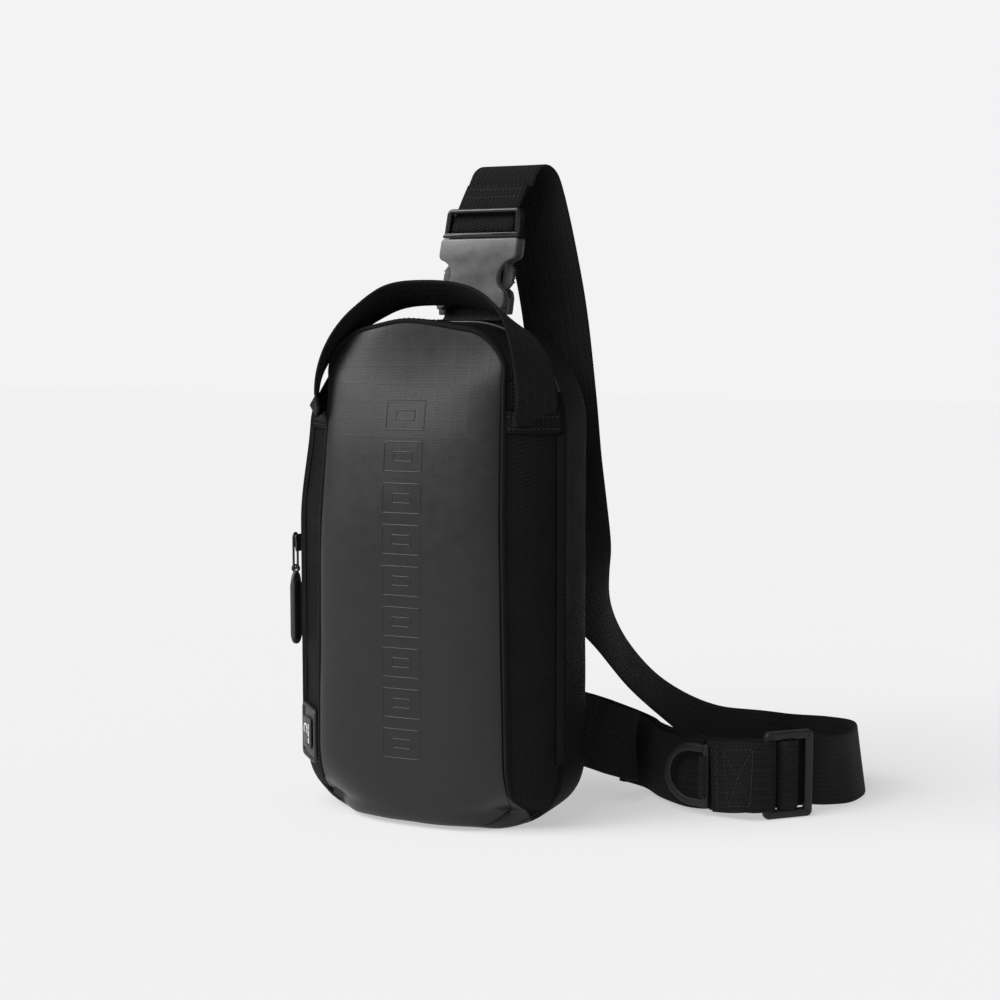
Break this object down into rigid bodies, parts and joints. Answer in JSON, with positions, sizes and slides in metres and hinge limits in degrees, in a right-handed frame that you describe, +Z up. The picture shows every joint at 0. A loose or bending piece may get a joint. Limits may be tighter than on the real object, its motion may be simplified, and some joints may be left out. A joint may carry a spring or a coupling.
{
  "type": "sling bag",
  "caption": "Slim one-strap sling bag with a padded rear compartment, hinged front lobe, carry handle, side-release buckle and webbing strap with adjuster.",
  "frame": {"origin": "on the flat bottom of the bag, midway across its width, 4 mm behind the seam between its two halves", "axes": "+Z up, +X to the viewer's right when the front panel is looked at, +Y towards the back pad"},
  "size_m": [0.3018, 0.1999, 0.368],
  "materials": {
    "padded_nylon": "matt ballistic weave",
    "gusset_nylon": "matt ballistic weave",
    "lining": "thin smooth lining",
    "elastic": "ribbed elastic",
    "air_mesh": "open spacer mesh",
    "coated_panel": "satin coated rip-stop",
    "foam": "closed-cell foam board",
    "twill_tape": "twill",
    "zip_coil": "moulded coil",
    "zip_metal": "satin black",
    "rubber_pull": "matt",
    "port_rubber": "matt",
    "port_metal": "satin",
    "webbing": "ribbed nylon webbing",
    "buckle_plastic": "fine satin grain",
    "fitting_metal": "satin black"
  },
  "bodies": {
    "root": {"rear_shell": "padded_nylon", "rear_lining": "lining", "back_pad": "air_mesh", "slip_pocket": "lining", "pocket_hem": "elastic", "zip_tape_rear": "twill_tape", "zip_coil_rear": "zip_coil", "buckle_loop": "webbing", "buckle_female": "buckle_plastic", "strap_arch": "webbing", "strap_rear_run": "webbing", "strap_floor_loop": "webbing", "strap_back_layer": "webbing", "strap_front_layer": "webbing", "lower_tab": "webbing", "lower_ring": "fitting_metal"},
    "front_lobe": {"front_panel": "coated_panel", "panel_foam": "foam", "top_gusset": "gusset_nylon", "left_gusset": "gusset_nylon", "right_gusset": "gusset_nylon", "panel_binding": "twill_tape", "gusset_hems": "gusset_nylon", "zip_tape_front": "twill_tape", "zip_coil_front": "zip_coil", "port_plate": "port_rubber", "port_socket": "port_metal", "handle_ends": "webbing"},
    "zip_slider": {"zip_slider": "zip_metal"},
    "zip_link": {"zip_link": "zip_metal"},
    "zip_puller": {"zip_puller": "rubber_pull"},
    "port_cover": {"port_cover": "port_rubber"},
    "handle": {"handle": "webbing"},
    "buckle_male": {"buckle_male": "buckle_plastic", "strap_fold": "webbing"},
    "prong_left": {"prong_left": "buckle_plastic"},
    "prong_right": {"prong_right": "buckle_plastic"},
    "adjuster": {"adjuster_frame": "fitting_metal", "strap_roll": "webbing", "strap_sewn_end": "webbing"},
    "d_ring": {"d_ring": "fitting_metal"}
  },
  "joints": [
    {"name": "lobe_hinge", "type": "hinge", "parent": "root", "child": "front_lobe", "pos_m": [0.082, -0.00415, 0], "axis": [0, 0, 1], "range_deg": [0, 110]},
    {"name": "zip_slider_slide", "type": "slide", "parent": "root", "child": "zip_slider", "axis": [0, 0, 1], "range_m": [-0.08, 0.04]},
    {"name": "zip_link_swing", "type": "hinge", "parent": "zip_slider", "child": "zip_link", "pos_m": [-0.0858, -0.004, 0.1545], "axis": [0, 1, 0], "range_deg": [0, 110]},
    {"name": "zip_puller_swing", "type": "hinge", "parent": "zip_link", "child": "zip_puller", "pos_m": [-0.0858, -0.004, 0.137], "axis": [0, 1, 0], "range_deg": [0, 60]},
    {"name": "port_cover_hinge", "type": "hinge", "parent": "front_lobe", "child": "port_cover", "pos_m": [-0.07167, -0.01786, 0.0541], "axis": [-0.7431, 0.6691, 0], "range_deg": [0, 110]},
    {"name": "handle_swing", "type": "hinge", "parent": "front_lobe", "child": "handle", "pos_m": [0, -0.027, 0.2476], "axis": [1, 0, 0], "range_deg": [0, 55]},
    {"name": "buckle_pull", "type": "slide", "parent": "root", "child": "buckle_male", "axis": [0.1219, 0, 0.9925], "range_m": [0, 0.034], "deforming": ["strap_arch"]},
    {"name": "prong_left_press", "type": "hinge", "parent": "buckle_male", "child": "prong_left", "pos_m": [0.00269, 0.03, 0.32607], "axis": [0, -1, 0], "range_deg": [0, 8], "stiffness_Nm_per_rad": 0.05},
    {"name": "prong_right_press", "type": "hinge", "parent": "buckle_male", "child": "prong_right", "pos_m": [0.03306, 0.03, 0.32234], "axis": [0, 1, 0], "range_deg": [0, 8], "stiffness_Nm_per_rad": 0.05},
    {"name": "adjuster_slide", "type": "slide", "parent": "root", "child": "adjuster", "axis": [0.7314, 0.682, 0], "range_m": [-0.008, 0.01], "deforming": ["strap_front_layer"]},
    {"name": "d_ring_flip", "type": "hinge", "parent": "adjuster", "child": "d_ring", "pos_m": [0.141, 0.061, 0.023], "axis": [0, 0, 1], "range_deg": [0, 150]}
  ]
}
